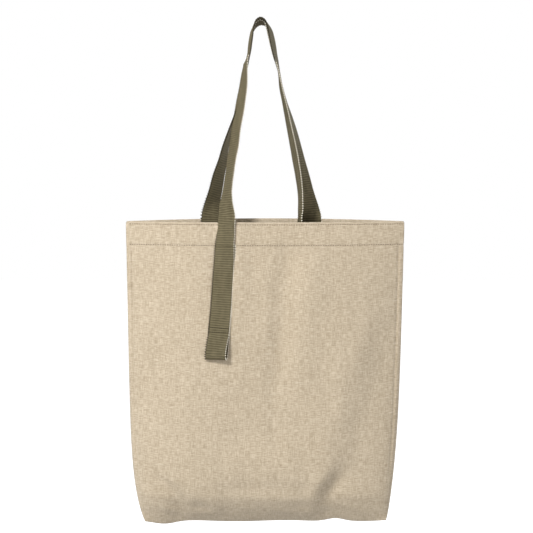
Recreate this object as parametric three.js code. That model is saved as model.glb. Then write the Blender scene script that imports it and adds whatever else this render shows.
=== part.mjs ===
// A canvas tote bag that hangs by its two webbing handles. Millimetres, +Z up, +X to the right,
// the front panel faces -Y. The origin is where the inner handle bears on the thing it hangs from.
import * as THREE from "three";
import { mergeVertices } from "three/addons/utils/BufferGeometryUtils.js";

// ---- Driving dimensions ----
const BAG_X = 6; // the bag's middle, beside the hanging point
const RIM_Z = -291; // the rim at the side seams
const FRONT_RIM_RISE = -3; // the rim at mid front, against its ends
const BACK_RIM_RISE = 5; // the rim at mid back, against its ends
const BASE_Z = -727; // the seam under the bag
const ROLL_HEIGHT = 41; // how far up the walls start to roll under
const RIM_HALF_WIDTH = 203;
const TAPER = 10; // how much narrower each side gets, evenly, from rim to base
const CORNER_TAPER = 17; // and how much more where the boxed corners pull it in
const FRONT_MOUTH = 28; // how far the rim bows out in front
const BACK_MOUTH = 18; // and behind
const FRONT_BELLY = 12; // how much further the front stands out low down
const BACK_BELLY = 10;
const CLOTH = 1.5; // a canvas panel, with the air in its folds
const HEM_CLOTH = 1.2;
const HEM_DEPTH = 34;
const CLEAR = 0.3; // between two pieces that touch
const SEAM_HALF_GAP = 0.2; // from a panel's edge to the plane of the seams
const SIDE_RATIO = 3.4; // sideways step for one step inwards, where the mouth comes to a point
const SEAM_CLOTH = 0.9; // a seam allowance inside the bag
const SEAM_CLEAR = 1.3; // from a seam allowance to the wall it lies on, which is curved
const THREAD = 0.7;
const RIM_STITCH_DROP = 3.2; // the upper stitch row, below the rim
const WEB_WIDTH = 29;
const WEB = 1.6; // webbing thickness
const TAIL_X = -51.5; // the tail's middle where it leaves the hem
const TAIL_LENGTH = 163;
const TAIL_LEAN = 12.5; // how far its lower end stands to the left
const TAIL_LOOP = 39; // the open loop at its end
const TAIL_LOOP_BULGE = 7;
const TAIL_ROW_GAP = 6; // between the two stitch rows that close the loop

const FRONT = -1;
const BACK = 1;
const ROLL_Z = BASE_Z + ROLL_HEIGHT;
const HEM_STITCH_DROP = HEM_DEPTH - 1;

// ---- Materials ----
const cloth = (color, roughness) => new THREE.MeshStandardMaterial({ color, roughness, metalness: 0 });
const canvas = cloth(0xd9cbb2, 0.95);
const canvasFold = cloth(0xe3d8c3, 0.95);
const thread = cloth(0xcdbd9f, 0.8);
const webbing = cloth(0x7d7558, 0.85);
const webbingThread = cloth(0x3c3524, 0.8);

// ---- The bag's shape ----
const down = (z) => (RIM_Z - z) / (RIM_Z - BASE_Z); // 0 at the rim, 1 at the base

function halfWidth(z) {
  const share = Math.max(0, down(z));
  return RIM_HALF_WIDTH - TAPER * share - CORNER_TAPER * share ** 6;
}

function depth(side, z) {
  const share = Math.min(1, Math.max(0, down(z)) / 0.9);
  const swell = Math.sin((share * Math.PI) / 2);
  return side === FRONT ? FRONT_MOUTH + FRONT_BELLY * swell : BACK_MOUTH + BACK_BELLY * swell;
}

// A plan section is a pointed lens at the rim and turns boxy towards the base.
function bow(u, z) {
  const share = Math.max(0, down(z));
  const inside = Math.max(0, 1 - Math.abs(u) ** (2 + 3 * share));
  return inside ** (1 - 0.5 * share);
}

const rimZ = (side, u) => RIM_Z + (side === FRONT ? FRONT_RIM_RISE : BACK_RIM_RISE) * (1 - u * u);

// A wall point at a given x and height; inset is how far inside the outer surface it lies.
function wallY(side, x, z, inset) {
  const u = (x - BAG_X) / (halfWidth(z) - SIDE_RATIO * inset);
  return side * Math.max(SEAM_HALF_GAP, (depth(side, z) - inset) * bow(u, z));
}

// A point of the rolled-under base: turn is 0 where the wall ends and 90 degrees at the seam.
function basePoint(side, u, turn, inset) {
  const z = ROLL_Z - (ROLL_HEIGHT - inset) * Math.sin(turn);
  const x = BAG_X + u * (halfWidth(z) - SIDE_RATIO * inset);
  return new THREE.Vector3(x, side * (depth(side, ROLL_Z) - inset) * Math.cos(turn) * bow(u, z), z);
}

// ---- Builders ----
// Every piece is a box that is bent into its place: place(u, v, t) says where each of its points goes.
function formed(columns, rows, place) {
  const box = new THREE.BoxGeometry(1, 1, 1, columns, rows, 1);
  const at = box.attributes.position;
  for (let i = 0; i < at.count; i += 1) {
    const point = place(at.getX(i) + 0.5, at.getY(i) + 0.5, at.getZ(i) + 0.5);
    at.setXYZ(i, point.x, point.y, point.z);
  }
  box.deleteAttribute("normal");
  box.deleteAttribute("uv");
  const solid = mergeVertices(box, 1e-5);
  solid.computeVertexNormals();
  return solid;
}

const mix = THREE.MathUtils.lerp;
const packed = (u) => 1.5 * (2 * u - 1) - 0.5 * (2 * u - 1) ** 3; // -1 to 1, closer at both ends

// From the rim down one wall and under the base, to the seam in the middle.
function panel(side) {
  const wallShare = 0.68;
  return formed(24, 19, (u, v, t) => {
    const across = -side * packed(u);
    const inset = CLOTH * (1 - t);
    const along = 1 - v;
    if (along <= wallShare) {
      const z = mix(rimZ(side, across), ROLL_Z, along / wallShare);
      const x = BAG_X + across * (halfWidth(z) - SIDE_RATIO * inset);
      return new THREE.Vector3(x, wallY(side, x, z, inset), z);
    }
    const point = basePoint(side, across, ((along - wallShare) / (1 - wallShare)) * (Math.PI / 2), inset);
    point.y = side * Math.max(SEAM_HALF_GAP, Math.abs(point.y));
    return point;
  });
}

// The folded top of a panel, inside it.
function hem(side) {
  return formed(24, 2, (u, v, t) => {
    const across = -side * packed(u);
    const inset = CLOTH + CLEAR + HEM_CLOTH * (1 - t);
    const z = rimZ(side, across) - HEM_DEPTH * (1 - v);
    const x = BAG_X + across * (halfWidth(z) - SIDE_RATIO * inset);
    return new THREE.Vector3(x, wallY(side, x, z, inset), z);
  });
}

// A patch that follows a wall: middle(v) is its centre line and from and to are the insets of its faces.
function patch(side, columns, rows, width, middle, from, to) {
  return formed(columns, rows, (u, v, t) => {
    const centre = middle(v);
    const x = centre.x - side * (u - 0.5) * width;
    return new THREE.Vector3(x, wallY(side, x, centre.z, mix(to, from, t)), centre.z);
  });
}

// One row of stitching round the outside of a wall; in front it climbs over the sewn-on webbing.
function stitchRow(side, drop) {
  const end = RIM_HALF_WIDTH - 3;
  const stops = [-end, -190, -170, -145, -120, -100, -84, -77, -73.5, -57, -40.5, -37, -30, -10];
  stops.push(10, 30, 50, 70, 90, 110, 130, 150, 170, 190, end);
  return formed(stops.length - 1, 1, (u, v, t) => {
    const across = stops[Math.round(u * (stops.length - 1))] * (side === FRONT ? 1 : -1);
    const climbs = side === FRONT && across > -74 && across < -40;
    const under = CLEAR + (climbs ? WEB + CLEAR : 0);
    const z = rimZ(side, across / RIM_HALF_WIDTH) - drop + (v - 0.5) * THREAD;
    const x = BAG_X + across;
    return new THREE.Vector3(x, wallY(side, x, z, -under - THREAD * t), z);
  });
}

// Webbing along a route of [x, y, z, turn]: at turn 0 its width runs front to back, at 90 left to right.
function webbingAlong(route, rows) {
  const line = new THREE.CatmullRomCurve3(route.map((p) => new THREE.Vector3(p[0], p[1], p[2])));
  const turns = new THREE.CatmullRomCurve3(route.map((p) => new THREE.Vector3(p[3], p[3], 0)));
  line.curveType = "catmullrom";
  turns.curveType = "catmullrom";
  return formed(2, rows, (u, v, t) => {
    const along = line.getTangent(v);
    const turn = THREE.MathUtils.degToRad(turns.getPoint(v).x);
    const wide = new THREE.Vector3(Math.sin(turn), -Math.cos(turn), 0);
    wide.addScaledVector(along, -wide.dot(along)).normalize();
    const out = new THREE.Vector3().crossVectors(wide, along);
    const point = line.getPoint(v);
    point.addScaledVector(wide, (u - 0.5) * WEB_WIDTH);
    return point.addScaledVector(out, (t - 0.5) * WEB);
  });
}

// ---- Handles: two loops, one inside the other, each turned edge-on where it goes over the top ----
const FOOT_Z = RIM_Z + 2.5; // where the front handle starts to swing
const BACK_FOOT_Z = RIM_Z + 9.5; // and the back one, above the higher rim behind
const OUTER_LOOP_Z = 5.8; // high enough for the inner loop to swing out from under it
const frontFootY = wallY(FRONT, -49, RIM_Z - 3, -1.1);

const frontHandle = webbingAlong(
  [
    [-49, frontFootY - 0.6, FOOT_Z, 84],
    [-48.6, -28, -268, 58],
    [-46, -26, -240, 24],
    [-41, -21, -203, 18],
    [-34.5, -16, -158, 16],
    [-26.5, -10, -105, 14],
    [-20, -5, -58, 3],
    [-14, -2, -28, 0],
    [-7.5, 0, -6, 0],
    [0, 0, WEB / 2, 0],
    [7.5, 0, -6, 0],
    [13, -1, -28, 0],
    [20, -3, -58, 8],
    [32, -6, -110, 10],
    [42, -8, -158, 14],
    [51, -9.5, -205, 16],
    [57.5, -10.5, -245, 13],
    [58, -10, -270, 10],
    [56, -9, FOOT_Z + 1, 8],
  ],
  64,
);

const backHandle = webbingAlong(
  [
    [-73, 12.5, BACK_FOOT_Z, 86],
    [-71, 13, -262, 62],
    [-67, 12.5, -240, 36],
    [-58, 11, -203, 22],
    [-46.5, 9, -158, 14],
    [-35, 6.5, -105, 8],
    [-25.5, 3.5, -58, 2],
    [-18.5, 1, -28, 0],
    [-11, 0, -2, 0],
    [0, 0, OUTER_LOOP_Z, 0],
    [11, 0, -2, 0],
    [18.5, 1, -28, 0],
    [26, 3.5, -58, 2],
    [38.5, 6.5, -105, 6],
    [50, 9, -150, 12],
    [60, 11, -203, 22],
    [68, 12.5, -240, 38],
    [72, 13, -262, 62],
    [73.5, 12.5, BACK_FOOT_Z, 86],
  ],
  64,
);

// ---- The ends of the handles, sewn to the hems ----
const stitchedTo = (side, x) => rimZ(side, (x - BAG_X) / RIM_HALF_WIDTH) - HEM_STITCH_DROP - 2;
const insideFrom = CLOTH + HEM_CLOTH + 2 * CLEAR;

// Outside the front hem, from the rim down to the lower stitch row, where the tail goes on.
const frontLeftEnd = patch(
  FRONT, 3, 5, WEB_WIDTH,
  (v) => ({ x: mix(TAIL_X, -49, v), z: mix(stitchedTo(FRONT, TAIL_X), RIM_Z - 1.2, v) }),
  -CLEAR - WEB, -CLEAR,
);

// Inside a hem, flat against it.
function innerEnd(side, x) {
  return patch(
    side, 3, 4, WEB_WIDTH,
    (v) => ({ x, z: mix(stitchedTo(side, x), rimZ(side, (x - BAG_X) / RIM_HALF_WIDTH) - 1, v) }),
    insideFrom, insideFrom + WEB,
  );
}

// Inside the front hem on the right the webbing untwists on its way down from the rim.
function twistedEnd(x) {
  const low = stitchedTo(FRONT, x);
  const face = wallY(FRONT, x, RIM_Z - 12, insideFrom);
  const stand = (turn) => face + WEB + CLEAR + (WEB_WIDTH / 2) * Math.cos(THREE.MathUtils.degToRad(turn));
  return webbingAlong(
    [
      [x, stand(8), FOOT_Z - 7, 8],
      [x + 1, stand(25), RIM_Z - 10, 25],
      [x + 3, stand(60), RIM_Z - 17, 60],
      [x + 4, stand(86), RIM_Z - 25, 86],
      [x + 4, stand(88) - 1.2, low, 88],
    ],
    10,
  );
}

// ---- The tail: the front handle's end, doubled into a loop ----
const TAIL_ROW_DROP = TAIL_LENGTH - TAIL_LOOP - 2; // the lower stitch row, below the tail's top
const TAIL_TOP = stitchedTo(FRONT, TAIL_X) - CLEAR - 0.5;
const tailX = (drop) => TAIL_X - (TAIL_LEAN * drop) / TAIL_LENGTH;
const tailY = (drop, stand) => wallY(FRONT, tailX(drop), TAIL_TOP - drop, -stand);
const FRONT_LAYER = 1.4 + 1.5 * WEB + 0.5; // how far the outer layer's middle stands off the panel
const BACK_LAYER = 1.4 + WEB / 2;

function tailRoute() {
  const loopTop = TAIL_LENGTH - TAIL_LOOP;
  const outer = [0, 40, 85, loopTop - 8, loopTop + 2].map((drop) => [drop, FRONT_LAYER]);
  const loop = [0.22, 0.4, 0.62, 0.84].map((share) => {
    return [loopTop + TAIL_LOOP * share, FRONT_LAYER + TAIL_LOOP_BULGE * Math.sin(Math.PI * share * 0.82)];
  });
  const fold = [[TAIL_LENGTH - WEB / 2, BACK_LAYER + 3]];
  const inner = [TAIL_LENGTH - 6, loopTop + 14, loopTop, loopTop - 12, 85, 40, 0];
  return [...outer, ...loop, ...fold, ...inner.map((drop) => [drop, BACK_LAYER])].map(([drop, stand]) => {
    return [tailX(drop), tailY(drop, stand), TAIL_TOP - drop, 90];
  });
}

// A stitch row on the tail's face, just above the loop.
function tailRow(drop) {
  return formed(2, 1, (u, v, t) => {
    const fall = drop + (0.5 - v) * THREAD;
    const x = tailX(fall) + (u - 0.5) * (WEB_WIDTH - 3);
    const stand = FRONT_LAYER + WEB / 2 + CLEAR + THREAD * t;
    return new THREE.Vector3(x, tailY(fall, stand), TAIL_TOP - fall);
  });
}

// ---- Seam allowances inside the bag ----
const seamInset = (t) => CLOTH + SEAM_CLEAR + SEAM_CLOTH * (1 - t);

function sideSeam(hand) {
  const from = RIM_Z - HEM_DEPTH - 6;
  return formed(2, 12, (u, v, t) => {
    const z = mix(ROLL_Z, from, v);
    const x = BAG_X + hand * (halfWidth(z) - 18) + (u - 0.5) * 11;
    return new THREE.Vector3(x, wallY(FRONT, x, z, seamInset(t)), z);
  });
}

function baseSeam() {
  const near = THREE.MathUtils.degToRad(88.5);
  const far = THREE.MathUtils.degToRad(76);
  return formed(16, 1, (u, v, t) => {
    return basePoint(FRONT, (u - 0.5) * 1.6, mix(near, far, v), seamInset(t));
  });
}

// Across the gusset at one end of the base.
function cornerSeam(hand) {
  return formed(1, 12, (u, v, t) => {
    const side = v < 0.5 ? BACK : FRONT;
    const turn = (Math.PI / 2) * (1 - 0.6 * Math.abs(2 * v - 1));
    const across = hand * 0.89 + (u - 0.5) * 0.05;
    return basePoint(side, across, turn, seamInset(t));
  });
}

// ---- The assembly ----
const bag = new THREE.Group();
const swinging = new THREE.Group();
const tote = new THREE.Group();
tote.add(bag, swinging);

function add(group, name, geometry, material) {
  const mesh = new THREE.Mesh(geometry, material);
  mesh.name = name;
  group.add(mesh);
}

add(bag, "front_panel", panel(FRONT), canvas);
add(bag, "back_panel", panel(BACK), canvas);
add(bag, "front_hem", hem(FRONT), canvasFold);
add(bag, "back_hem", hem(BACK), canvasFold);
add(bag, "left_side_seam", sideSeam(-1), canvasFold);
add(bag, "right_side_seam", sideSeam(1), canvasFold);
add(bag, "base_seam", baseSeam(), canvasFold);
add(bag, "left_corner_seam", cornerSeam(-1), canvasFold);
add(bag, "right_corner_seam", cornerSeam(1), canvasFold);
add(bag, "front_rim_stitching", stitchRow(FRONT, RIM_STITCH_DROP), thread);
add(bag, "back_rim_stitching", stitchRow(BACK, RIM_STITCH_DROP), thread);
add(bag, "front_hem_stitching", stitchRow(FRONT, HEM_STITCH_DROP), thread);
add(bag, "back_hem_stitching", stitchRow(BACK, HEM_STITCH_DROP), thread);
add(bag, "front_left_handle_end", frontLeftEnd, webbing);
add(bag, "front_right_handle_end", twistedEnd(56), webbing);
add(bag, "back_left_handle_end", innerEnd(BACK, -73), webbing);
add(bag, "back_right_handle_end", innerEnd(BACK, 73.5), webbing);
add(swinging, "front_handle", frontHandle, webbing);
add(swinging, "back_handle", backHandle, webbing);
add(swinging, "tail_loop", webbingAlong(tailRoute(), 60), webbing);
add(swinging, "tail_upper_stitching", tailRow(TAIL_ROW_DROP - TAIL_ROW_GAP), webbingThread);
add(swinging, "tail_lower_stitching", tailRow(TAIL_ROW_DROP), webbingThread);

export default tote;
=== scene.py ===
"""A canvas tote bag with olive webbing handles, hanging by them.

Lengths in this file are in millimetres unless a comment says otherwise. +Z is up and the front faces -Y.
"""

import math

import bpy
import numpy as np
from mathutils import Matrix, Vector


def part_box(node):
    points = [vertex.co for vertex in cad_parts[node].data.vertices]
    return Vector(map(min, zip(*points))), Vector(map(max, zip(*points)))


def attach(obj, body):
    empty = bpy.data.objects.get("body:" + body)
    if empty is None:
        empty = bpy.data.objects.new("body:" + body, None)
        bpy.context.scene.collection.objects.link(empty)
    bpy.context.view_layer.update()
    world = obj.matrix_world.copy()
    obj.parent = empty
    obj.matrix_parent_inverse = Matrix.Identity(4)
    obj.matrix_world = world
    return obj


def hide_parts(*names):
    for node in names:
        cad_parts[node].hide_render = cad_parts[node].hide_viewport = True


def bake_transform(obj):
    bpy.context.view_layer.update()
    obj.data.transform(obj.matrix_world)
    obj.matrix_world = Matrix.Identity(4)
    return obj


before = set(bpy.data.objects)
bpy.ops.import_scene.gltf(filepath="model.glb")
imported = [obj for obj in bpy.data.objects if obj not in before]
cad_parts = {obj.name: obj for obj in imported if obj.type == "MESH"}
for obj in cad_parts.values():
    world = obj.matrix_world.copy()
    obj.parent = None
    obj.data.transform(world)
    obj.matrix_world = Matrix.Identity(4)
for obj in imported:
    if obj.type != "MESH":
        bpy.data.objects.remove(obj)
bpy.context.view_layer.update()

MM = 0.001  # in metres, which Blender and the frame use
FRONT, BACK = -1, 1
LEFT, RIGHT = -1, 1
SCENE = bpy.context.scene

# ---- Sizes, from the frame where it has them ----
panel_low, panel_high = (np.array(corner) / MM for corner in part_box("front_panel"))
BACK_DEPTH = np.array(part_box("back_panel")[1])[1] / MM
BAG_X = (panel_low[0] + panel_high[0]) / 2  # the bag's middle; X is 0 at the handles' top
RIM_HALF = (panel_high[0] - panel_low[0]) / 2
RIM_Z = panel_high[2]  # at the rim's ends
BASE_Z = panel_low[2]
HEIGHT = RIM_Z - BASE_Z
ROLL_HEIGHT = 41  # the walls end this far above the base, at a soft crease
ROLL_Z = BASE_Z + ROLL_HEIGHT
FRONT_RISE, BACK_RISE = -3.0, 5.0  # the rim in the middle, against its ends
FRONT_MOUTH, BACK_MOUTH = 28.0, 18.0  # how far the rim bows out in the middle
FRONT_BELLY = -panel_low[1] - FRONT_MOUTH  # and how much more the wall does low down
BACK_BELLY = BACK_DEPTH - BACK_MOUTH
HEM_DEPTH = 34.0
RIM_ROW, HEM_ROW = 3.4, 33.0  # the stitch rows, below the rim
CLOTH = 0.9  # one layer of canvas
PANEL_TOP = 1.3  # a panel's top edge is this far below the rim, inside the hem's fold
HEM_FACE = -2.5  # the inner face of the hem, from the outside of the panel
COLUMNS = 181  # of points across a panel or hem
WEB_WIDTH, WEB = 29.0, 1.6  # the webbing's width and thickness
RIB = 1.7  # from one rib of the webbing to the next; every second one is prouder
LOOP = 2 * RIB  # from one loop of the edges' yarn to the next
OLIVE_LOOPS, PALE_LOOPS = 2.2, 1.1  # how far the loops of either edge stand out


# ---- Small tools ----
def smoothstep(low, high, value):
    share = np.clip((value - low) / (high - low), 0, 1)
    return share * share * (3 - 2 * share)


def bump_at(value, centre, width):
    return np.exp(-(((value - centre) / width) ** 2))


def waves(seed, count, longest, shortest):
    """A smooth random field over two coordinates, about -1 to 1, as a function."""
    rng = np.random.default_rng(seed)
    turn = rng.uniform(0, math.pi, count)
    rate = 2 * math.pi / rng.uniform(shortest, longest, count)
    start = rng.uniform(0, 2 * math.pi, count)

    def field(a, b):
        total = 0.0
        for angle, speed, phase in zip(turn, rate, start):
            total = total + np.sin((a * math.cos(angle) + b * math.sin(angle)) * speed + phase)
        return total / math.sqrt(count)

    return field


def new_piece(name, points, faces, material, coords):
    """A smooth mesh object from points in millimetres; its weave follows coords, the cloth coordinates."""
    mesh = bpy.data.meshes.new(name)
    mesh.from_pydata((np.asarray(points) * MM).tolist(), [], faces)
    cloth = mesh.attributes.new("cloth", "FLOAT_VECTOR", "POINT")
    cloth.data.foreach_set("vector", np.asarray(coords, np.float32).ravel())
    mesh.polygons.foreach_set("use_smooth", [True] * len(mesh.polygons))
    mesh.materials.append(material)
    mesh.update()
    piece = bpy.data.objects.new(name, mesh)
    SCENE.collection.objects.link(piece)
    return piece


def tie(piece, body, replaced):
    """Says which body a piece rides on and which CAD node it replaces."""
    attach(piece, body)
    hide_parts(replaced)


def grid_faces(rows, columns, offset=0, flip=False, wrap=False):
    """Quads between rows of points; wrap joins each row's last point to its first."""
    faces = []
    for i in range(rows - 1):
        for j in range(columns if wrap else columns - 1):
            k = (j + 1) % columns
            quad = (i * columns + j, i * columns + k, (i + 1) * columns + k, (i + 1) * columns + j)
            faces.append(tuple(offset + q for q in (quad[::-1] if flip else quad)))
    return faces


def thick_sheet(outer, inner, flip):
    """Points and faces of a closed sheet between two grids of points, rows by columns by 3."""
    rows, columns = outer.shape[:2]
    count = rows * columns
    faces = grid_faces(rows, columns, 0, flip) + grid_faces(rows, columns, count, not flip)
    border = [(0, j) for j in range(columns)] + [(i, columns - 1) for i in range(1, rows)]
    border += [(rows - 1, j) for j in range(columns - 2, -1, -1)] + [(i, 0) for i in range(rows - 2, 0, -1)]
    ids = [i * columns + j for i, j in border]
    for a, b in zip(ids, ids[1:] + ids[:1]):
        quad = (b, a, a + count, b + count)
        faces.append(quad[::-1] if flip else quad)
    return np.concatenate([outer.reshape(-1, 3), inner.reshape(-1, 3)]), faces


def tube_piece(name, rings, across, along, material, flip):
    """A closed piece from lines of points round a section; its cloth coordinates are across and along."""
    points = np.stack(rings, axis=1)
    rows, count = points.shape[:2]
    faces = grid_faces(rows, count, flip=flip, wrap=True)
    start, end = tuple(range(count)), tuple(range((rows - 1) * count, rows * count))
    faces += [start, end[::-1]] if flip else [start[::-1], end]
    coords = np.stack(np.broadcast_arrays(across, along, 0.0), axis=-1)
    return new_piece(name, points.reshape(-1, 3), faces, material, coords.reshape(-1, 3))


def unit(vectors):
    return vectors / np.maximum(np.linalg.norm(vectors, axis=-1, keepdims=True), 1e-9)


# ---- Camera ----
CAMERA_AT = (8.0, -1460.0, -356.7)
SENSOR_WIDTH = 36
FOCAL_SHARE = 1000 / 533  # the focal length, against the picture's width


def add_camera():
    camera = bpy.data.objects.new("camera", bpy.data.cameras.new("camera"))
    camera.location = Vector(CAMERA_AT) * MM
    camera.rotation_euler = (math.pi / 2, 0, 0)
    camera.data.sensor_width = SENSOR_WIDTH
    camera.data.lens = SENSOR_WIDTH * FOCAL_SHARE
    SCENE.collection.objects.link(camera)
    SCENE.camera = camera


add_camera()


# ---- Materials ----
class Nodes:
    """Short ways to add shader nodes to a material."""

    def __init__(self, name):
        self.material = bpy.data.materials.new(name)
        self.material.use_nodes = True
        self.tree = self.material.node_tree
        self.shader = self.tree.nodes["Principled BSDF"]

    def link(self, value, socket):
        """Feeds a socket from another one, or sets it to a plain value."""
        if isinstance(value, bpy.types.NodeSocket):
            self.tree.links.new(value, socket)
        else:
            socket.default_value = value

    def math(self, operation, *values):
        node = self.tree.nodes.new("ShaderNodeMath")
        node.operation = operation
        for value, socket in zip(values, node.inputs):
            self.link(value, socket)
        return node.outputs[0]

    def times(self, first, second):
        return self.math("MULTIPLY", first, second)

    def weighted(self, *pairs):
        """The sum of some values, each times its weight."""
        terms = [self.times(value, weight) for value, weight in pairs]
        total = terms[0]
        for term in terms[1:]:
            total = self.math("ADD", total, term)
        return total

    def cloth(self, across=1.0, along=1.0):
        """The cloth coordinates, in millimetres, scaled."""
        place = self.tree.nodes.new("ShaderNodeAttribute")
        place.attribute_name = "cloth"
        scaled = self.tree.nodes.new("ShaderNodeVectorMath")
        scaled.operation = "MULTIPLY"
        self.link(place.outputs["Vector"], scaled.inputs[0])
        scaled.inputs[1].default_value = (across, along, 1)
        return scaled.outputs[0]

    def noise(self, vector, detail=2.0, roughness=0.5):
        node = self.tree.nodes.new("ShaderNodeTexNoise")
        self.link(vector, node.inputs["Vector"])
        node.inputs["Scale"].default_value = 1
        node.inputs["Detail"].default_value = detail
        node.inputs["Roughness"].default_value = roughness
        return node.outputs["Fac"]

    def part(self, vector, axis):
        node = self.tree.nodes.new("ShaderNodeSeparateXYZ")
        self.link(vector, node.inputs[0])
        return node.outputs[axis]

    def wave(self, operation, axis, pitch):
        """A SINE or COSINE along one axis of the cloth coordinates."""
        return self.math(operation, self.times(self.part(self.cloth(), axis), 2 * math.pi / pitch))

    def ramp(self, value, low, high):
        """0 below low to 1 above high, smoothly."""
        node = self.tree.nodes.new("ShaderNodeMapRange")
        node.interpolation_type = "SMOOTHSTEP"
        self.link(value, node.inputs["Value"])
        node.inputs["From Min"].default_value = low
        node.inputs["From Max"].default_value = high
        return node.outputs["Result"]

    def mix(self, share, first, second):
        node = self.tree.nodes.new("ShaderNodeMix")
        node.data_type = "RGBA"
        self.link(share, node.inputs["Factor"])
        self.link(first, node.inputs["A"])
        self.link(second, node.inputs["B"])
        return node.outputs["Result"]

    def matt(self, colour, roughness, specular):
        self.link(colour, self.shader.inputs["Base Color"])
        self.shader.inputs["Roughness"].default_value = roughness
        self.shader.inputs["Specular IOR Level"].default_value = specular

    def bump(self, height, distance, strength):
        """Relief from a height; the distance is in metres."""
        node = self.tree.nodes.new("ShaderNodeBump")
        node.inputs["Strength"].default_value = strength
        node.inputs["Distance"].default_value = distance
        self.link(height, node.inputs["Height"])
        self.link(node.outputs["Normal"], self.shader.inputs["Normal"])


def rgb(*screen):
    """A colour given as three screen values from 0 to 255, for a shader."""
    linear = [c / 255 / 12.92 if c < 10.3 else ((c / 255 + 0.055) / 1.055) ** 2.4 for c in screen]
    return (*linear, 1)


ACROSS, ALONG = 0, 1  # the axes of the cloth coordinates
THREAD_PITCH = 0.95  # of the canvas, both ways
SLUB_COLOUR, FLECK_COLOUR = rgb(222, 212, 192), rgb(112, 84, 54)


def canvas_threads(n):
    """How thick and light the single threads are, about 0 to 1; a thread varies slowly along itself."""
    weft = n.noise(n.cloth(0.13, 1.15), roughness=0.55)
    warp = n.noise(n.cloth(1.15, 0.09), roughness=0.55)
    return n.weighted((weft, 0.58), (warp, 0.42))


def canvas_tone(n, threads):
    """0 for dark to 1 for light: the threads, bands of alike threads both ways, and faint clouds."""
    weft_bands = n.noise(n.cloth(0.03, 0.35))
    warp_bands = n.noise(n.cloth(0.45, 0.012))
    clouds = n.noise(n.cloth(0.012, 0.012), detail=3)
    bands = n.weighted((weft_bands, 0.5), (warp_bands, 0.5))
    return n.ramp(n.weighted((threads, 0.76), (bands, 0.18), (clouds, 0.06)), 0.38, 0.62)


def canvas_flecks(n):
    """1 on small flecks of husk, which lie in about half of the cells of a coarse pattern."""
    cells = n.tree.nodes.new("ShaderNodeTexVoronoi")
    n.link(n.cloth(0.030, 0.045), cells.inputs["Vector"])
    cells.inputs["Scale"].default_value = 1
    near = n.math("SUBTRACT", 1, n.ramp(cells.outputs["Distance"], 0.016, 0.036))
    picked = n.ramp(n.part(cells.outputs["Color"], 0), 0.45, 0.55)
    return n.times(near, picked)


def canvas_material(name, light, dark):
    """Plain woven linen and cotton: uneven threads both ways, slubs, and a few brown flecks."""
    n = Nodes(name)
    threads = canvas_threads(n)
    slubs = n.ramp(n.noise(n.cloth(0.045, 0.75), detail=1), 0.66, 0.74)
    body = n.mix(canvas_tone(n, threads), dark, light)
    body = n.mix(n.times(slubs, 0.22), body, SLUB_COLOUR)
    body = n.mix(n.times(canvas_flecks(n), 0.6), body, FLECK_COLOUR)
    n.matt(body, roughness=0.92, specular=0.2)
    n.shader.inputs["Sheen Weight"].default_value = 0.12
    n.shader.inputs["Sheen Roughness"].default_value = 0.6
    crossings = n.times(n.wave("SINE", ACROSS, THREAD_PITCH), n.wave("SINE", ALONG, THREAD_PITCH))
    height = n.weighted((crossings, 0.35), (threads, 1.6), (slubs, 0.5))
    n.bump(height, 0.22 * MM, 0.9)
    return n.material


def webbing_material():
    """Olive webbing: ribs across it, every second one prouder, fine lengthwise yarns and a dark edge, partly
    the edge's dark yarn and partly painted shade.
    """
    n = Nodes("webbing")
    ribs = n.wave("COSINE", ALONG, RIB)
    proud_ribs = n.wave("COSINE", ALONG, LOOP)
    yarns = n.wave("COSINE", ACROSS, 0.85)
    uneven = n.noise(n.cloth(0.10, 1.6))
    streaks = n.noise(n.cloth(0.12, 0.03))
    tone = n.weighted((ribs, 0.10), (proud_ribs, 0.20), (yarns, 0.05),
                      (n.math("SUBTRACT", uneven, 0.5), 0.9), (n.math("SUBTRACT", streaks, 0.5), 0.5))
    body = n.mix(n.ramp(tone, -0.5, 0.5), rgb(63, 57, 41), rgb(110, 102, 79))
    # Darker towards the olive edge all along the webbing: partly the edge's own dark yarn, partly painted
    # shade for the shadowed edges at the handles' top.
    olive_edge = n.ramp(n.part(n.cloth(), ACROSS), -13.3, -14.3)
    body = n.mix(n.times(olive_edge, 0.85), body, rgb(36, 31, 22))
    n.matt(body, roughness=0.85, specular=0.1)
    n.bump(n.math("ADD", n.times(yarns, 0.35), uneven), 0.12 * MM, 0.7)
    return n.material


def thread_material(name, light, dark):
    n = Nodes(name)
    twist = n.noise(n.cloth(0.9, 2.6))
    n.matt(n.mix(n.ramp(twist, 0.35, 0.65), dark, light), roughness=0.75, specular=0.3)
    n.bump(twist, 0.08 * MM, 0.6)
    return n.material


canvas = canvas_material("canvas", rgb(185, 171, 150), rgb(147, 133, 111))
# A lighter copy of the canvas for the hems and the seam allowances: painted light, the same cloth made
# lighter where it is folded.
canvas_fold = canvas_material("canvas_fold", rgb(193, 179, 158), rgb(155, 141, 119))
canvas_thread = thread_material("canvas_thread", rgb(92, 79, 60), rgb(66, 55, 40))
webbing = webbing_material()
selvedge = thread_material("selvedge", rgb(240, 234, 220), rgb(200, 192, 174))
webbing_thread = thread_material("webbing_thread", rgb(66, 58, 38), rgb(46, 40, 26))


# ---- The bag's shape ----
def down(z):
    """0 at the rim's ends, 1 at the base."""
    return np.clip((RIM_Z - z) / HEIGHT, 0, 1)


def half_width(z, hand):
    """The walls pull in towards the base, sooner on the right than on the left."""
    share = down(z)
    left = RIM_HALF - 10 * share - 17.5 * share**9
    right = RIM_HALF - 13 * share - 13.6 * share**5
    return np.where(hand < 0, left, right)


def rim_z(side, u):
    return RIM_Z + (FRONT_RISE if side == FRONT else BACK_RISE) * (1 - u * u)


def depth(side, z):
    """How far a wall bows out in its middle."""
    swell = np.sin(np.clip(down(z) / 0.9, 0, 1) * math.pi / 2)
    return FRONT_MOUTH + FRONT_BELLY * swell if side == FRONT else BACK_MOUTH + BACK_BELLY * swell


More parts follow.
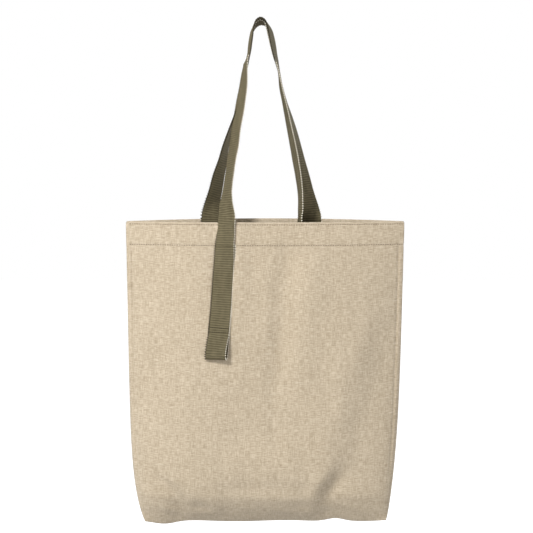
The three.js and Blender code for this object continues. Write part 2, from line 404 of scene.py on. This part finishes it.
def bow(u, z):
    """A plan section: a pointed lens at the rim, boxier towards the base."""
    share = down(z)
    inside = np.clip(1 - np.abs(u) ** (2 + 3 * share), 0, 1)
    return inside ** (1 - 0.5 * share)


# ---- Folds in the front, each as how far it stands out at a given place ----
STRAP_X = -49.0  # the sewn-on webbing's middle at the front rim


def valley_x(below):
    """The middle of the valley, which leans left on its way down."""
    return 38 - 16 * smoothstep(40, 260, below)


def valley(x, z):
    below = RIM_Z - z
    ends = smoothstep(8, 60, below) * (1 - smoothstep(170, 330, below))
    return -5.6 * bump_at(x, valley_x(below), 17) * ends


def ridge(x, z):
    """On the valley's right."""
    below = RIM_Z - z
    ends = smoothstep(20, 80, below) * (1 - smoothstep(180, 340, below))
    return 2.4 * bump_at(x, valley_x(below) + 34, 20) * ends


def slope(x, z):
    """A broad diagonal from the right edge down to the middle of the base, lower on its right."""
    past = (x - 106) * 0.95 - (z + 640) * 0.31
    return -10.5 * smoothstep(-26, 30, past) * smoothstep(60, 200, RIM_Z - z)


def turned(x, z, centre, direction):
    """How far a place is from a centre, along a direction in the wall and across it."""
    along = (x - centre[0]) * direction[0] + (z - centre[1]) * direction[1]
    across = (x - centre[0]) * direction[1] - (z - centre[1]) * direction[0]
    return along, across


def right_pocket(x, z):
    """A slanted hollow at the foot of the slope, with a lip on its left."""
    along, across = turned(x, z, (98, -674), (0.55, 0.83))
    hollow = -8.5 * bump_at(across, 2, 13) * bump_at(along, 0, 26)
    lip = 3.4 * bump_at(across, -17, 11) * bump_at(along, 4, 34)
    return hollow + lip


def left_pocket(x, z):
    along, across = turned(x, z, (-128, -676), (0.75, -0.66))
    return -9.0 * bump_at(across, 0, 9) * bump_at(along, 6, 28)


def low_swell(x, z):
    return 4.0 * bump_at(x, 30, 100) * bump_at(z, -640, 30)


def low_crease(x, z):
    """A shallow wavering dip just above the turn of the base."""
    crease_z = -679 + 2.5 * np.sin(x / 40 + 2) + 0.03 * x
    return -4.2 * bump_at(x, 5, 95) * bump_at(z, crease_z, 11.5)


def left_slope(x, z):
    return -4.0 * bump_at((x + 168) * 0.9 - (z + 520) * 0.25, 0, 16) * bump_at(z, -520, 70)


def strap_pull(x, z):
    """The cloth turns a little under the sewn-on webbing: in on its left, out on its right."""
    off = (x - STRAP_X) / 17
    pull = 4.0 * off * np.exp(0.5 - 0.5 * off**2)
    return pull * (1 - smoothstep(60, 170, RIM_Z - z))


FRONT_FOLDS = (valley, ridge, slope, right_pocket, left_pocket, low_swell, low_crease, left_slope, strap_pull)

# ---- Ripples, seams and puckers ----
broad_waves = {FRONT: waves(4, 9, 190, 90), BACK: waves(11, 9, 190, 80)}
small_waves = {FRONT: waves(5, 12, 60, 26), BACK: waves(12, 12, 60, 26)}
pucker = waves(21, 8, 14, 6)


def ripples(side, x, z, drop):
    broad = broad_waves[side](x, z * 0.6) * 1.3 * smoothstep(10, 120, drop)
    small = small_waves[side](x, z) * 0.35 * smoothstep(20, 70, drop)
    return broad + small


def hem_relief(x, drop):
    """The hem's thickness, and the dents and puckers of its stitch rows."""
    total = 0.75 * (1 - smoothstep(HEM_ROW + 0.4, HEM_ROW + 2.2, drop))
    for row in (RIM_ROW, HEM_ROW):
        total = total - 0.6 * bump_at(drop, row, 1.6)
        total = total + 0.22 * pucker(x, drop * 0.2) * bump_at(drop, row, 5)
    return total


def seam_relief(x, z, drop):
    """A groove beside each side edge, with a soft ridge between the two."""
    from_edge = half_width(z, np.sign(x - BAG_X)) - np.abs(x - BAG_X)
    ends = smoothstep(30, 42, drop) * (1 - smoothstep(330, 395, drop))
    return (0.5 * bump_at(from_edge, 4, 2.6) - 1.5 * bump_at(from_edge, 7.8, 1.3)) * ends


def relief(side, x, z, u):
    """How far a wall stands out from its plain shape."""
    drop = rim_z(side, u) - z
    cloth = ripples(side, x, z, drop)
    if side == FRONT:
        cloth = cloth + sum(fold(x, z) for fold in FRONT_FOLDS)
    inside_edges = 1 - np.abs(u) ** 6
    return cloth * inside_edges + hem_relief(x, drop) + seam_relief(x, z, drop)


def base_sag(x):
    """The seam under the bag dips at its ends and lifts over the fold at the right."""
    dips = -4.5 * bump_at(x, -140, 22) - 1.0 * bump_at(x, 160, 24)
    lift = 4.5 * bump_at(x, 108, 17)
    return dips + lift + 0.8 * np.sin(x / 23)


# ---- Panels ----
OUTER_GAP, INNER_GAP, HEM_GAP = 0.4, 0.15, 0.1  # the least that a panel's faces and a hem keep from Y = 0


def wall(side, u, z):
    """Outer surface of a wall: points for grids of u, -1 to 1 across, and heights z."""
    x = BAG_X + u * half_width(z, np.sign(u))
    y = depth(side, z) * bow(u, z) + relief(side, x, z, u)
    return np.stack([x, side * np.maximum(y, OUTER_GAP), z + 0 * x], axis=-1)


def wall_at(side, x, z):
    """The same surface for a given x."""
    x, z = np.asarray(x, float), np.asarray(z, float)
    u = np.clip((x - BAG_X) / half_width(z, np.sign(x - BAG_X)), -1, 1)
    return wall(side, u, z)


def outward(side, x, z):
    """The wall's outward direction at a given x and height."""
    step = 1.5
    across = wall_at(side, x + step, z) - wall_at(side, x - step, z)
    upward = wall_at(side, x, z + step) - wall_at(side, x, z - step)
    return unit(np.cross(across, upward)) * (1 if side == FRONT else -1)


def wall_offset(side, x, z, stand):
    """A point that stands off the wall by that much, inwards if it is negative."""
    return wall_at(side, x, z) + outward(side, x, z) * np.asarray(stand)[..., None]


CREASE_DROP = 394  # a panel's rows end this far below the rim; its base begins there
ROW_DROPS = np.concatenate([
    np.linspace(PANEL_TOP, 6.5, 9),  # at the rim's stitch row
    np.linspace(8, 29, 10),
    np.linspace(30.2, 38, 14),  # at the hem's stitch row and its lower edge
    np.linspace(40.5, CREASE_DROP, 142),
])


def wall_rows(side, u):
    """Heights of a panel's rows for each column: parallel to the rim above, level at the crease."""
    full = RIM_Z - ROLL_Z
    shift = rim_z(side, u) - RIM_Z
    return np.stack([RIM_Z - drop + shift * (1 - drop / full) for drop in ROW_DROPS])


def soften(points, first, last, passes):
    """Rounds a crease by averaging each row with its neighbours."""
    for _ in range(passes):
        middle = points[first - 1 : last - 1] + 2 * points[first:last] + points[first + 1 : last + 1]
        points[first:last] = middle / 4
    return points


def base_half(side, u, last):
    """A panel's rows under its crease, from the wall's last row in to the seam under the bag."""
    rows, seam_half = 26, 176
    q = np.linspace(0, 1, rows + 1)[1:, None]
    seam_z = BASE_Z + base_sag(BAG_X + u * seam_half)
    z = last[:, 2] + (seam_z - last[:, 2]) * q
    x = BAG_X + u * half_width(z, np.sign(u))
    round_under = 2.0 * np.sin(math.pi * q) * bow(u, z)
    ripple = small_waves[side](x, z * 2) * 0.8 * np.sin(math.pi * q)
    y = last[:, 1] * (1 - q) ** 0.92 + side * (round_under + ripple)
    return np.stack([x, side * np.maximum(side * y, OUTER_GAP), z], axis=-1)


def panel_outside(side):
    """The outer face of a panel from its top edge to the base seam, rows by columns."""
    s = np.linspace(-1, 1, COLUMNS)
    u = 1.18 * s - 0.18 * s**3  # the columns are closer together at the sides
    z = wall_rows(side, u)
    walls = wall(side, np.broadcast_to(u, z.shape), z)
    crease = len(walls)
    outer = np.concatenate([walls, base_half(side, u, walls[-1])])
    return soften(outer, crease - 8, crease + 8, 14)


def panel_inside(side, outer):
    across = np.gradient(outer, axis=1)
    along = np.gradient(outer, axis=0)
    normal = unit(np.cross(along, across)) * side
    inner = outer - normal * CLOTH
    inner[..., 1] = side * np.maximum(side * inner[..., 1], INNER_GAP)
    return inner


def panel_coords(side, outer):
    """X across and the distance over the cloth along; the back is cut mirrored, from another stretch."""
    across = outer[..., 0] if side == FRONT else 700 - outer[..., 0]
    steps = np.linalg.norm(np.diff(outer, axis=0, prepend=outer[:1]), axis=-1)
    coords = np.stack([across, np.cumsum(steps, axis=0), 0 * across], axis=-1)
    return np.concatenate([coords.reshape(-1, 3)] * 2)


def panel(side, name, replaced):
    outer = panel_outside(side)
    points, faces = thick_sheet(outer, panel_inside(side, outer), flip=side == FRONT)
    piece = new_piece(name, points, faces, canvas, panel_coords(side, outer))
    tie(piece, "bag", replaced)
    return piece


panels = {
    FRONT: panel(FRONT, "front_panel_cloth", "front_panel"),
    BACK: panel(BACK, "back_panel_cloth", "back_panel"),
}


# ---- Hems: folded over the rim and down the inside ----
def hem_profile():
    """Points (stand, drop) round a hem's section: its lip outside, over the rim, down inside and back up."""
    radius = 1.5
    middle = HEM_FACE + radius
    over = [(middle + radius * math.cos(a), 1.1 - radius * math.sin(a)) for a in np.linspace(0, math.pi, 9)]
    inside = [(HEM_FACE, drop) for drop in (4, 9, 16, 23, 29)]
    foot = [(HEM_FACE, HEM_DEPTH - 0.6), (HEM_FACE + 0.5, HEM_DEPTH), (HEM_FACE + 1.0, HEM_DEPTH)]
    under = [(-CLOTH - 0.1, drop) for drop in (HEM_DEPTH - 0.6, 28, 20, 12, 5, 1.2)]
    lip = [(0.05, 1.15), (0.05, 3.0)]
    return [(middle + radius, 3.0), (middle + radius, 1.9)] + over + inside + foot + under + lip


def hem_row(side, u, stand, drop):
    """One of the profile's points, all along the rim; above the panel's top edge it goes straight up."""
    z = rim_z(side, u) - drop
    top = rim_z(side, u) - PANEL_TOP
    x = BAG_X + u * half_width(z, np.sign(u))
    row = wall_offset(side, x, np.minimum(z, top), stand + 0 * u)
    row[:, 2] += np.maximum(z - top, 0)
    row[:, 1] = side * np.maximum(side * row[:, 1], HEM_GAP)
    return row


def hem(side, name, replaced):
    reach = 0.996  # it stops just short of the side edges
    u = np.linspace(-reach, reach, COLUMNS)
    section = hem_profile()
    rings = [hem_row(side, u, stand, drop) for stand, drop in section]
    across = np.stack([ring[:, 0] for ring in rings], axis=1)
    along = np.array([drop for _, drop in section]) + 400  # a stretch of weave of its own
    piece = tube_piece(name, rings, across, along, canvas_fold, flip=side == BACK)
    tie(piece, "bag", replaced)
    return piece


hems = {
    FRONT: hem(FRONT, "front_hem_fold", "front_hem"),
    BACK: hem(BACK, "back_hem_fold", "back_hem"),
}


# ---- Webbing ----
def catmull_rom(route, step):
    """Points of a smooth curve through a route of [x, y, z, turn], evenly spaced, and how far each is."""
    pieces = 40  # of the curve between two route points, before it is spaced evenly
    p = np.array(route, float)
    p = np.concatenate([[2 * p[0] - p[1]], p, [2 * p[-1] - p[-2]]])
    fine = []
    for a, b, c, d in zip(p, p[1:], p[2:], p[3:]):
        for t in np.linspace(0, 1, pieces, endpoint=False):
            cubic = 2 * b + (c - a) * t + (2 * a - 5 * b + 4 * c - d) * t**2 + (3 * b - a - 3 * c + d) * t**3
            fine.append(cubic / 2)
    fine = np.array(fine + [p[-2]])
    far = np.concatenate([[0], np.cumsum(np.linalg.norm(np.diff(fine[:, :3], axis=0), axis=1))])
    at = np.linspace(0, far[-1], int(far[-1] / step) + 1)
    return np.stack([np.interp(at, far, fine[:, k]) for k in range(4)], axis=1), at


def strap_directions(line):
    """Unit vectors across webbing, from the olive edge to the pale one, and out of it."""
    along = unit(np.gradient(line[:, :3], axis=0))
    turn = np.radians(line[:, 3])
    wide = np.stack([np.sin(turn), -np.cos(turn), 0 * turn], axis=1)
    wide = unit(wide - along * (wide * along).sum(1, keepdims=True))
    return wide, np.cross(wide, along)


def strap(name, line, far):
    """Flat ribbed webbing along a line."""
    wide, out = strap_directions(line)
    rib = np.cos(far * 2 * math.pi / RIB) * 0.07 + np.cos(far * math.pi / RIB) * 0.13
    top = [(share, 1.0) for share in np.linspace(-0.96, 0.96, 11)]
    edge = [(0.995, 0.75), (1.0, 0.0), (0.995, -0.75)]
    section = top + edge + [(share, -face) for share, face in top[::-1]] + [(-a, -b) for a, b in edge]
    rings = []
    for share, face in section:
        lift = face * (WEB / 2 + rib * min(1, (1 - abs(share)) * 20 + 0.3))  # ribs fade at the edges
        rings.append(line[:, :3] + wide * (share * WEB_WIDTH / 2) + out * lift[:, None])
    across = np.array([share * WEB_WIDTH / 2 for share, _ in section])
    return tube_piece(name, rings, across, far[:, None], webbing, flip=False)


def edge_loops(name, line, far, hand, length, material):
    """Yarn looped over an edge at every second rib: hand 1 for the pale edge, -1 for the olive one."""
    wide, out = strap_directions(line)
    sides = 8
    core, core_half = 0.2, 0.12  # what is left of the yarn between two loops
    loop = np.clip(np.cos(far * 2 * math.pi / LOOP), 0, 1) ** 0.5
    middle = hand * (WEB_WIDTH / 2 - core + length * loop / 2)
    rings = []
    for k in range(sides):
        angle = 2 * math.pi * k / sides
        reach = middle + math.cos(angle) * (core + 0.5 * length * loop)
        lift = math.sin(angle) * (core_half + 0.9 * loop)
        rings.append(line[:, :3] + wide * reach[:, None] + out * lift[:, None])
    return tube_piece(name, rings, np.arange(sides) * 0.5, far[:, None], material, flip=True)


def on_wall(side, x, z, stand, turn):
    """A route point at a given place on a wall, stood off it."""
    point = wall_offset(side, np.array([float(x)]), np.array([float(z)]), np.array([float(stand)]))[0]
    return [point[0], point[1], point[2], turn]


OUTER_LAY, INNER_LAY = 1.3, 0.4  # how far sewn webbing's near face is from the hem's
SEWN_OUT = OUTER_LAY + WEB / 2  # the middle of webbing sewn on the outside of the hem
SEWN_IN = HEM_FACE - INNER_LAY - WEB / 2  # and inside it

# A route point is [x, y, z, turn]. The pale edge is in front at a turn of 0, at the right at 90 degrees
# and behind at 180. Both routes run from the left sewn end over the top to the right one.
front_route = [
    on_wall(FRONT, -50.2, RIM_Z - 36.2, SEWN_OUT + 1.9, 66),
    on_wall(FRONT, -50.0, RIM_Z - 30, SEWN_OUT + 1.2, 65),
    on_wall(FRONT, -49.6, RIM_Z - 20, SEWN_OUT, 64),
    on_wall(FRONT, -49.3, RIM_Z - 8, SEWN_OUT, 61),
    [-49.1, -28.8, -285, 57],
    [-49.9, -28.2, -270, 45],
    [-49.2, -27.6, -259, 35],
    [-48.0, -26.6, -247, 28],
    [-44.4, -23.8, -220, 26],
    [-42.0, -21.5, -202, 27.5],
    [-39.0, -18.9, -184, 29],
    [-35.8, -16, -158, 28.5],
    [-31.8, -12.6, -135, 29],
    [-28.6, -10.0, -114, 27.5],
    [-25.8, -7.0, -95, 24],
    [-23.8, -4.6, -71, 15.6],
    [-22.0, -0.8, -58, 9.5],
    [-19.2, 3.4, -50, 9],
    [-17.2, 5.2, -42, 10],
    [-16.0, 5.6, -33, 10.5],
    [-14.4, 5.4, -21, 10.5],
    [-12.0, 5.2, -12, 5],
    [-7.2, 5.0, -2.6, -1],
    [0, 5.0, WEB / 2, -3],
    [7.2, 4.8, -2.6, -8],
    [11.0, 4.6, -11, -12],
    [14.0, 4.4, -22, -14],
    [16.8, 4.2, -33, -15],
    [19.4, 3.6, -45, -14],
    [22.1, 2.0, -57, -11],
    [24.9, -1.2, -69, -4],
    [28.2, -5.0, -92, 4],
    [32.8, -6.4, -114, 6],
    [37.4, -7.2, -136, 9],
    [41.8, -8.0, -158, 11],
    [46.2, -8.8, -180, 13],
    [50.2, -9.5, -202, 14],
    [53.8, -10.1, -223, 13],
    [56.6, -10.4, -245, 11],
    [57.4, -10.2, -260, 10],
    [57.4, -9.6, -274, 11],
    [56.6, -9, -286, 8],
    [56.4, -8.6, -296, 14],
    [58, -12, -304, 42],
    [60, -19.0, -313, 80],
    [60.4, -22.8, -320, 88],
    on_wall(FRONT, 60.4, RIM_Z - 36, SEWN_IN, 88),
]

back_route = [
    on_wall(BACK, -73.4, RIM_Z - 32, SEWN_IN, 90),
    on_wall(BACK, -73.4, RIM_Z - 20, SEWN_IN, 90),
    on_wall(BACK, -73.2, RIM_Z - 6, SEWN_IN, 91),
    [-73.0, 11.6, -284, 97],
    [-71.7, 12.4, -273, 114],
    [-70.3, 12.7, -259, 137],
    [-66.9, 12.6, -245, 143],
    [-62.2, 12.0, -223, 149],
    [-56.5, 11, -202, 158],
    [-51.8, 10.6, -180, 166],
    [-45.2, 10.6, -158, 172],
    [-37.8, 11.0, -136, 176],
    [-30.8, 11.0, -114, 178],
    [-25.6, 10.2, -92, 180],
    [-21.6, 6.6, -70, 183],
    [-19.0, 0.0, -56, 186],
    [-17.2, -1.8, -45, 189],
    [-16.0, -3.0, -33, 190.5],
    [-14.3, -3.0, -21, 190.5],
    [-12.2, -3.0, -10, 188],
    [-7.6, -3.0, -0.8, 183],
    [0, -3.0, 1.5 * WEB + 0.5, 178],
    [7.8, -3.0, -1.0, 172],
    [12.6, -3.0, -9.6, 167],
    [15.3, -3.0, -21, 164],
    [17.7, -2.8, -33, 164],
    [19.9, -1.6, -45, 166],
    [22.5, 0.2, -56, 168],
    [25.8, 2.4, -70, 173],
    [30.8, 4.6, -92, 176],
    [36.6, 5.8, -114, 174],
    [43.0, 7.0, -136, 168],
    [48.8, 8.6, -158, 162],
    [53.8, 9.8, -180, 157],
    [58.6, 11, -202, 152],
    [63.4, 12.0, -223, 146],
    [67.8, 12.6, -245, 139],
    [70.6, 12.7, -259, 130],
    [72.8, 12.4, -273, 114],
    [74.0, 11.6, -284, 97],
    on_wall(BACK, 74.2, RIM_Z - 6, SEWN_IN, 91),
    on_wall(BACK, 74.2, RIM_Z - 20, SEWN_IN, 90),
    on_wall(BACK, 74.2, RIM_Z - 32, SEWN_IN, 90),
]

TAIL_X, TAIL_LEAN = -50.4, 13.0  # where the tail starts, and how far left its end is from there
TAIL_TOP = RIM_Z - 36.3
TAIL_LENGTH, TAIL_LOOP = 160.6, 35.4  # from its top to its fold, and of the open loop
TAIL_UPPER_ROW, TAIL_LOWER_ROW = 116.8, 123.2  # its stitch rows, below its top


def tail_route():
    """Down in front, round the open loop's fold, and up behind to under the hem's lower stitch row."""
    loop_top = TAIL_LENGTH - TAIL_LOOP

    def at(drop, stand, turn, shift=0.0):
        x = TAIL_X - TAIL_LEAN * (drop / TAIL_LENGTH) ** 1.3 + shift
        return on_wall(FRONT, x, TAIL_TOP - drop, stand, turn)

    front = [at(0, 3.4, 69), at(25, 3.3, 77), at(60, 3.0, 82), at(95, 2.9, 84), at(loop_top - 6, 2.9, 84)]
    loop = [at(loop_top + 2, 3.6, 83), at(loop_top + 12, 6.2, 80, -1.0), at(loop_top + 24, 9.2, 78, -1.6)]
    loop += [at(TAIL_LENGTH - 5, 10.0, 77, -1.2), at(TAIL_LENGTH - 1.0, 8.6, 77, -0.7)]
    fold = [at(TAIL_LENGTH, 6.6, 78, -0.2), at(TAIL_LENGTH - 1.0, 4.0, 79, 0.5)]
    behind = [at(TAIL_LENGTH - 8, 2.2, 81, 1.0), at(loop_top + 8, 1.4, 83, 1.0), at(loop_top, 1.3, 84, 0.5)]
    behind += [at(loop_top - 8, 1.3, 84, 0.3), at(90, 1.3, 84, 0.5), at(62, 1.3, 83, 0.8)]
    behind += [at(40, 1.4, 80, 0.4), at(14, 1.5, 75, 1.2), at(3, 1.6, 71, 0.8), at(0.6, 1.6, 69, 0.5)]
    return front + loop + fold + behind


def band(name, route, replaced):
    """Webbing and its edges along a route; the CAD nodes it replaces are hidden."""
    line, far = catmull_rom(route, RIB / 4)
    piece = strap(name, line, far)
    pale = edge_loops(name + "_pale_edge", line, far, 1, PALE_LOOPS, selvedge)
    olive = edge_loops(name + "_olive_edge", line, far, -1, OLIVE_LOOPS, webbing_thread)
    for part in (piece, pale, olive):
        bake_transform(part)
    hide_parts(*replaced)


front_nodes = ["front_handle", "front_left_handle_end", "front_right_handle_end"]
back_nodes = ["back_handle", "back_left_handle_end", "back_right_handle_end"]

band("front_handle_webbing", front_route, front_nodes)
band("back_handle_webbing", back_route, back_nodes)
band("tail_webbing", tail_route(), ["tail_loop"])


# ---- Stitches ----
def stitches(name, places, directions, normals, length, radius, material):
    """Single stitches: short rounded threads that dip at their ends."""
    rings, sides = 7, 6
    points, faces, coords = [], [], []
    for place, direction, normal in zip(places, directions, normals):
        side = np.cross(normal, direction)
        base = len(points)
        for i in range(rings):
            t = -1 + 2 * i / (rings - 1)
            thick = radius * math.sqrt(max(0.06, 1 - abs(t) ** 3))
            centre = place + direction * (t * length / 2) + normal * (radius * (0.55 - 1.1 * t * t))
            for k in range(sides):
                angle = 2 * math.pi * k / sides
                points.append(centre + (side * math.cos(angle) + normal * math.sin(angle)) * thick)
                coords.append((k * 0.2, base * 0.1 + t * length, 0))
        faces += grid_faces(rings, sides, base, wrap=True)
        faces.append(tuple(range(base, base + sides))[::-1])
        faces.append(tuple(range(base + (rings - 1) * sides, base + rings * sides)))
    return new_piece(name, points, faces, material, coords)


def wall_row(side, name, drop, replaced):
    """A row of stitches along the outside of a hem, that far below the rim."""
    pitch, length, radius = 3.5, 3.0, 0.46
    reach = RIM_HALF - 5
    x = BAG_X + np.arange(-reach, reach, pitch) + pitch / 2
    z = rim_z(side, (x - BAG_X) / RIM_HALF) - drop
    places = wall_offset(side, x, z, 0.62 + 0 * x)
    directions = unit(np.gradient(places, axis=0))
    piece = stitches(name, places, directions, outward(side, x, z), length, radius, canvas_thread)
    tie(piece, "bag", replaced)


wall_row(FRONT, "front_rim_stitches", RIM_ROW, "front_rim_stitching")
wall_row(BACK, "back_rim_stitches", RIM_ROW, "back_rim_stitching")
wall_row(FRONT, "front_hem_stitches", HEM_ROW, "front_hem_stitching")
wall_row(BACK, "back_hem_stitches", HEM_ROW, "back_hem_stitching")


def tail_stitches(name, drop, replaced):
    """A row across the front of the tail, that far below its top."""
    count, length, radius = 9, 2.6, 0.5
    line, _ = catmull_rom(tail_route(), RIB / 4)
    front_half = line[: len(line) // 2]
    here = np.argmin(np.abs(front_half[:, 2] - (TAIL_TOP - drop)))
    wide, out = (directions[here] for directions in strap_directions(line))
    offsets = np.linspace(-0.44, 0.44, count) * WEB_WIDTH
    places = line[here, :3] + wide * offsets[:, None] - out * (WEB / 2 + 0.15)
    along_row, facing = np.tile(wide, (count, 1)), np.tile(-out, (count, 1))
    piece = stitches(name, places, along_row, facing, length, radius, webbing_thread)
    tie(piece, "tail", replaced)


tail_stitches("tail_upper_stitches", TAIL_UPPER_ROW, "tail_upper_stitching")
tail_stitches("tail_lower_stitches", TAIL_LOWER_ROW, "tail_lower_stitching")


# ---- Seam allowances inside the bag ----
def allowance(name, outer, inner, replaced):
    """A strip of folded cloth on the inside of a seam, between two grids of points."""
    points, faces = thick_sheet(outer, inner, flip=True)
    row, column = np.indices(outer.shape[:2]).reshape(2, -1)
    coords = np.stack([column * 2.0, row * 2.0 + 900, 0 * row], axis=1)  # a stretch of weave of its own
    piece = new_piece(name, points, faces, canvas_fold, np.concatenate([coords] * 2))
    bevel = piece.modifiers.new("soft edges", "BEVEL")
    bevel.width = 0.25 * MM
    bevel.segments = 2
    tie(piece, "bag", replaced)


def side_allowance(hand, name, replaced):
    """Down the inside of the front wall, from under the hem to the crease."""
    width, from_side = 11, 24
    z = np.linspace(RIM_Z - HEM_DEPTH - 8, ROLL_Z + 4, 90)[:, None]
    share = np.linspace(0, 1, 7)[None, :]
    x = BAG_X + hand * (half_width(z, hand) - from_side + share * width) + 0.5 * np.sin(z / 9)
    z = z + 0 * x
    outer, inner = (wall_offset(FRONT, x, z, 0 * x - stand) for stand in (CLOTH + 0.25, CLOTH + 1.3))
    if hand == LEFT:
        outer, inner = inner, outer
    allowance(name, outer, inner, replaced)


side_allowance(LEFT, "left_seam_allowance", "left_side_seam")
side_allowance(RIGHT, "right_seam_allowance", "right_side_seam")


def low_strip(name, line, wide, replaced):
    """A strip along a line inside the base; wide is the direction and size of its width."""
    share = np.linspace(-0.5, 0.5, 5)[None, :, None]
    top = line[:, None, :] + np.array(wide) * share + np.array([0, 0, 0.9])
    under = top - np.array([0, 0, 1.0])
    allowance(name, under, top, replaced)


def base_allowance(name, replaced):
    x = np.linspace(-140, 152, 120)
    z = BASE_Z + base_sag(x) + 3.0 + 0.6 * np.sin(x / 7)
    low_strip(name, np.stack([x, 0 * x, z], axis=1), [0.0, 5.0, 0.0], replaced)


def corner_allowance(hand, name, replaced):
    """Across the gusset, from the front down over the base seam and up behind."""
    from_middle, reach_front, reach_back = 160, 11, 8
    t = np.linspace(-1, 1, 41)
    x = BAG_X + hand * (from_middle + 0 * t)
    y = np.where(t < 0, t * reach_front, t * reach_back)
    z = BASE_Z + base_sag(x) + 2.0 + (3.0 + 24 * np.abs(t) ** 1.15)
    low_strip(name, np.stack([x, y, z], axis=1), [8.0 * hand, 0.0, 0.0], replaced)


base_allowance("base_seam_allowance", "base_seam")
corner_allowance(LEFT, "left_corner_allowance", "left_corner_seam")
corner_allowance(RIGHT, "right_corner_allowance", "right_corner_seam")


# ---- Stage: floor, light and a white surround. Lengths here are in metres ----
def floor_material():
    """Light grey under the bag and white further out, by the distance from the frame's origin: further out
    the floor glows, painted light, and the grey under the bag is painted shade.
    """
    n = Nodes("floor")
    place = n.tree.nodes.new("ShaderNodeTexCoord")
    length = n.tree.nodes.new("ShaderNodeVectorMath")
    length.operation = "LENGTH"
    n.link(place.outputs["Object"], length.inputs[0])
    # Painted light: the floor glows more the further it is from the bag, which leaves painted shade under it.
    n.link(n.ramp(length.outputs["Value"], 0.9, 2.4), n.shader.inputs["Emission Strength"])
    n.shader.inputs["Emission Color"].default_value = (0.95, 0.95, 0.95, 1)
    n.shader.inputs["Base Color"].default_value = (0.4, 0.4, 0.4, 1)
    n.shader.inputs["Roughness"].default_value = 1.0
    return n.material


def add_floor(half, z):
    corners = [(-half, -half, z), (half, -half, z), (half, half, z), (-half, half, z)]
    mesh = bpy.data.meshes.new("floor")
    mesh.from_pydata(corners, [], [(0, 1, 2, 3)])
    mesh.materials.append(floor_material())
    floor = bpy.data.objects.new("floor", mesh)
    SCENE.collection.objects.link(floor)


def add_light(name, place, size, power):
    """A square lamp aimed at the upper part of the bag."""
    aim = Vector((0, 0, -0.45))
    light = bpy.data.lights.new(name, "AREA")
    light.energy = power
    light.size = size
    lamp = bpy.data.objects.new(name, light)
    lamp.location = place
    lamp.rotation_euler = (aim - Vector(place)).to_track_quat("-Z", "Y").to_euler()
    SCENE.collection.objects.link(lamp)


def surround():
    """White all round up to a little above eye level, greyer overhead."""
    world = bpy.data.worlds.new("white")
    world.use_nodes = True
    tree = world.node_tree
    direction = tree.nodes.new("ShaderNodeTexCoord")
    split = tree.nodes.new("ShaderNodeSeparateXYZ")
    tree.links.new(direction.outputs["Generated"], split.inputs[0])
    fade = tree.nodes.new("ShaderNodeMapRange")
    fade.interpolation_type = "SMOOTHSTEP"
    tree.links.new(split.outputs["Z"], fade.inputs["Value"])
    for socket, number in (("From Min", 0.32), ("From Max", 0.55), ("To Min", 1.0), ("To Max", 0.3)):
        fade.inputs[socket].default_value = number
    tree.links.new(fade.outputs["Result"], tree.nodes["Background"].inputs["Strength"])
    tree.nodes["Background"].inputs["Color"].default_value = (1, 1, 1, 1)
    SCENE.world = world


add_floor(half=60.0, z=-1.25)
add_light("key", (-1.7, -2.8, 1.8), size=0.7, power=165)
add_light("back_fill", (1.8, 2.4, 0.9), size=1.6, power=45)
surround()
SCENE.view_settings.view_transform = "Standard"
